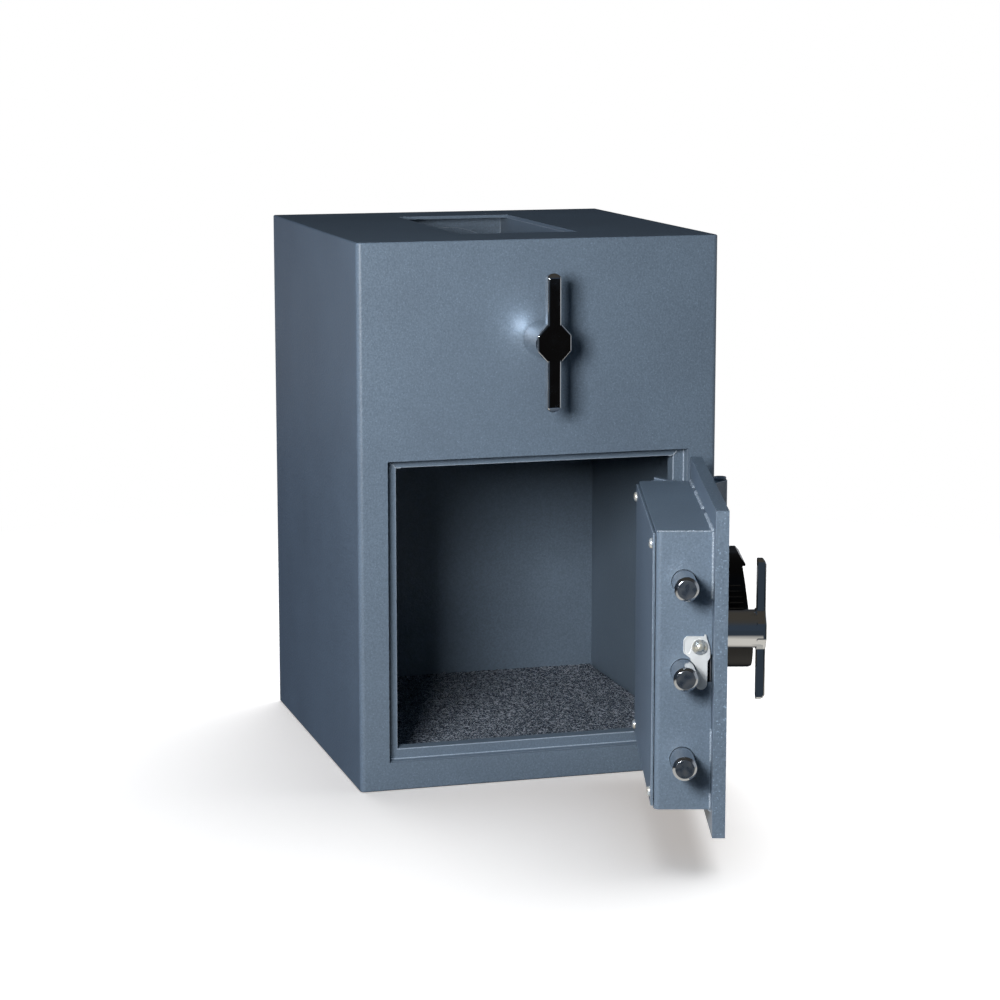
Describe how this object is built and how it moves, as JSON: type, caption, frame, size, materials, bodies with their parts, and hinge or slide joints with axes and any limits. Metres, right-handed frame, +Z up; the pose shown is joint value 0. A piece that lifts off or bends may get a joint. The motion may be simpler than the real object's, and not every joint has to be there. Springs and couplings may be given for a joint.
{
  "type": "rotary hopper safe",
  "caption": "Small welded steel deposit safe with a turning hopper drum loaded through its top and a hinged door with round bolts, a keypad lock and a T-handle.",
  "frame": {"origin": "middle of the underside of the cabinet, on the surface it stands on", "axes": "+X to the viewer's right as they face the door, +Y from the front of the cabinet to its back, +Z up"},
  "size_m": [0.349, 0.6911, 0.508],
  "materials": {
    "powder_coat": "slate-blue powder coat with a fine leathery texture",
    "chrome_plate": "polished chrome plate",
    "zinc_plate": "bright zinc plate",
    "bare_steel": "turned or cut bare steel, oiled",
    "black_spring_steel": "blackened spring steel",
    "bronze": "oil-filled sintered bronze",
    "housing_plastic": "black moulded plastic with a fine grain",
    "key_plastic": "dark grey moulded key caps",
    "carpet": "charcoal needle-punched carpet"
  },
  "bodies": {
    "case": {"cabinet_wrap": "powder_coat", "top_panel": "powder_coat", "bottom_panel": "powder_coat", "back_panel": "powder_coat", "door_frame": "powder_coat", "floor_pan": "powder_coat", "carpet_mat": "carpet", "hopper_throat": "powder_coat", "rear_bearing_plate": "powder_coat", "front_bush": "bronze", "rear_bush": "bronze", "stop_stud": "bare_steel", "upper_hinge_case_half": "powder_coat", "upper_hinge_pin": "bare_steel", "lower_hinge_case_half": "powder_coat", "lower_hinge_pin": "bare_steel"},
    "drum": {"drum_shell": "powder_coat", "drum_front_disc": "powder_coat", "drum_rear_disc": "powder_coat", "front_axle": "bare_steel", "rear_axle": "bare_steel", "stop_cam": "bare_steel", "hopper_handle": "chrome_plate"},
    "door": {"door_plate": "powder_coat", "upper_hinge_door_half": "powder_coat", "lower_hinge_door_half": "powder_coat", "bolt_box": "powder_coat", "cover_plate": "powder_coat", "cover_screw_upper_free": "zinc_plate", "cover_screw_lower_free": "zinc_plate", "cover_screw_upper_hinge": "zinc_plate", "cover_screw_lower_hinge": "zinc_plate", "dead_bar": "powder_coat", "guide_post": "zinc_plate", "lock_body": "zinc_plate", "lever_rivet": "zinc_plate", "lever_spring": "black_spring_steel", "keypad_housing": "housing_plastic"},
    "bolt_carriage": {"bolt_upper": "chrome_plate", "bolt_middle": "chrome_plate", "bolt_lower": "chrome_plate", "bolt_bar": "bare_steel", "drag_plate": "bare_steel"},
    "handle": {"crank_spindle": "bare_steel", "door_handle": "chrome_plate"},
    "lock_bolt": {"lock_bolt": "bare_steel"},
    "lever": {"detent_lever": "zinc_plate"},
    "battery_drawer": {"battery_drawer": "housing_plastic"},
    "key_1": {"key_1": "key_plastic"},
    "key_2": {"key_2": "key_plastic"},
    "key_3": {"key_3": "key_plastic"},
    "key_4": {"key_4": "key_plastic"},
    "key_5": {"key_5": "key_plastic"},
    "key_6": {"key_6": "key_plastic"},
    "key_7": {"key_7": "key_plastic"},
    "key_8": {"key_8": "key_plastic"},
    "key_9": {"key_9": "key_plastic"},
    "key_clear": {"key_clear": "key_plastic"},
    "key_0": {"key_0": "key_plastic"},
    "key_enter": {"key_enter": "key_plastic"}
  },
  "joints": [
    {"name": "door_swing", "type": "hinge", "parent": "case", "child": "door", "pos_m": [0.1695, -0.203, 0.1675], "axis": [0, 0, 1], "range_deg": [-74.3, 105.7]},
    {"name": "hopper_turn", "type": "hinge", "parent": "case", "child": "drum", "pos_m": [0, -0.184, 0.417], "axis": [0, 1, 0], "range_deg": [0, 180]},
    {"name": "handle_turn", "type": "hinge", "parent": "door", "child": "handle", "pos_m": [0.10088, -0.37692, 0.18], "axis": [-0.9627, 0.2706, 0], "range_deg": [0, 90]},
    {"name": "bolts_slide", "type": "slide", "parent": "door", "child": "bolt_carriage", "axis": [0.2706, 0.9627, 0], "range_m": [0, 0.031]},
    {"name": "lock_slide", "type": "slide", "parent": "door", "child": "lock_bolt", "axis": [0, 0, -1], "range_m": [-0.012, 0]},
    {"name": "lever_pivot", "type": "hinge", "parent": "door", "child": "lever", "pos_m": [0.05004, -0.4772, 0.189], "axis": [-0.2706, -0.9627, 0], "range_deg": [0, 8], "stiffness_Nm_per_rad": 0.05},
    {"name": "battery_drawer_slide", "type": "slide", "parent": "door", "child": "battery_drawer", "axis": [0, 0, -1], "range_m": [0, 0.035]},
    {"name": "key_1_press", "type": "slide", "parent": "door", "child": "key_1", "axis": [-0.9399, 0.2642, -0.2164], "range_m": [0, 0.0012], "stiffness_N_per_m": 1500},
    {"name": "key_2_press", "type": "slide", "parent": "door", "child": "key_2", "axis": [-0.9399, 0.2642, -0.2164], "range_m": [0, 0.0012], "stiffness_N_per_m": 1500},
    {"name": "key_3_press", "type": "slide", "parent": "door", "child": "key_3", "axis": [-0.9399, 0.2642, -0.2164], "range_m": [0, 0.0012], "stiffness_N_per_m": 1500},
    {"name": "key_4_press", "type": "slide", "parent": "door", "child": "key_4", "axis": [-0.9399, 0.2642, -0.2164], "range_m": [0, 0.0012], "stiffness_N_per_m": 1500},
    {"name": "key_5_press", "type": "slide", "parent": "door", "child": "key_5", "axis": [-0.9399, 0.2642, -0.2164], "range_m": [0, 0.0012], "stiffness_N_per_m": 1500},
    {"name": "key_6_press", "type": "slide", "parent": "door", "child": "key_6", "axis": [-0.9399, 0.2642, -0.2164], "range_m": [0, 0.0012], "stiffness_N_per_m": 1500},
    {"name": "key_7_press", "type": "slide", "parent": "door", "child": "key_7", "axis": [-0.9399, 0.2642, -0.2164], "range_m": [0, 0.0012], "stiffness_N_per_m": 1500},
    {"name": "key_8_press", "type": "slide", "parent": "door", "child": "key_8", "axis": [-0.9399, 0.2642, -0.2164], "range_m": [0, 0.0012], "stiffness_N_per_m": 1500},
    {"name": "key_9_press", "type": "slide", "parent": "door", "child": "key_9", "axis": [-0.9399, 0.2642, -0.2164], "range_m": [0, 0.0012], "stiffness_N_per_m": 1500},
    {"name": "key_clear_press", "type": "slide", "parent": "door", "child": "key_clear", "axis": [-0.9399, 0.2642, -0.2164], "range_m": [0, 0.0012], "stiffness_N_per_m": 1500},
    {"name": "key_0_press", "type": "slide", "parent": "door", "child": "key_0", "axis": [-0.9399, 0.2642, -0.2164], "range_m": [0, 0.0012], "stiffness_N_per_m": 1500},
    {"name": "key_enter_press", "type": "slide", "parent": "door", "child": "key_enter", "axis": [-0.9399, 0.2642, -0.2164], "range_m": [0, 0.0012], "stiffness_N_per_m": 1500}
  ],
  "couplings": [
    {"joint": "bolts_slide", "follows": "handle_turn", "m_per_rad": 0.019735}
  ]
}
